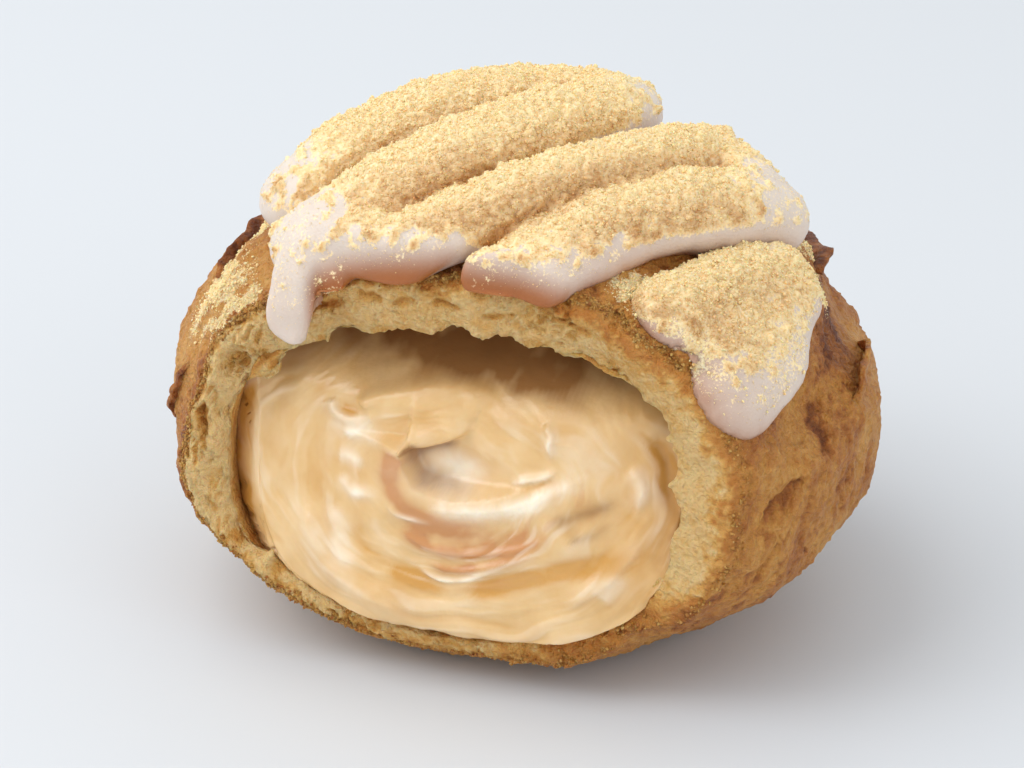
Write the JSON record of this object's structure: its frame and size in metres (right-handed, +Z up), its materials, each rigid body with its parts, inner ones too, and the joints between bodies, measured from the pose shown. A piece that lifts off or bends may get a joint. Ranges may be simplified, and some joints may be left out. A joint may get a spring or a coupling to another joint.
{
  "type": "cream puff",
  "caption": "Round choux puff, cut open at the front to show its swirled custard cream, with a zigzag of soft rice cake over the crown.",
  "frame": {"origin": "middle of the flat spot that the puff rests on", "axes": "+Z up through the crown, -Y towards the cut front, +X to the right seen from the front"},
  "size_m": [0.0889, 0.0804, 0.0656],
  "materials": {
    "baked_choux": "matt golden brown crust with pale torn crumb",
    "custard_cream": "moist satin cream",
    "soft_rice_cake": "moist translucent white",
    "roasted_flour": "dry matt powder"
  },
  "bodies": {
    "root": {"choux_shell": "baked_choux", "custard_cream": "custard_cream", "rice_cake_zigzag": "soft_rice_cake", "rice_cake_tail": "soft_rice_cake"}
  },
  "joints": []
}
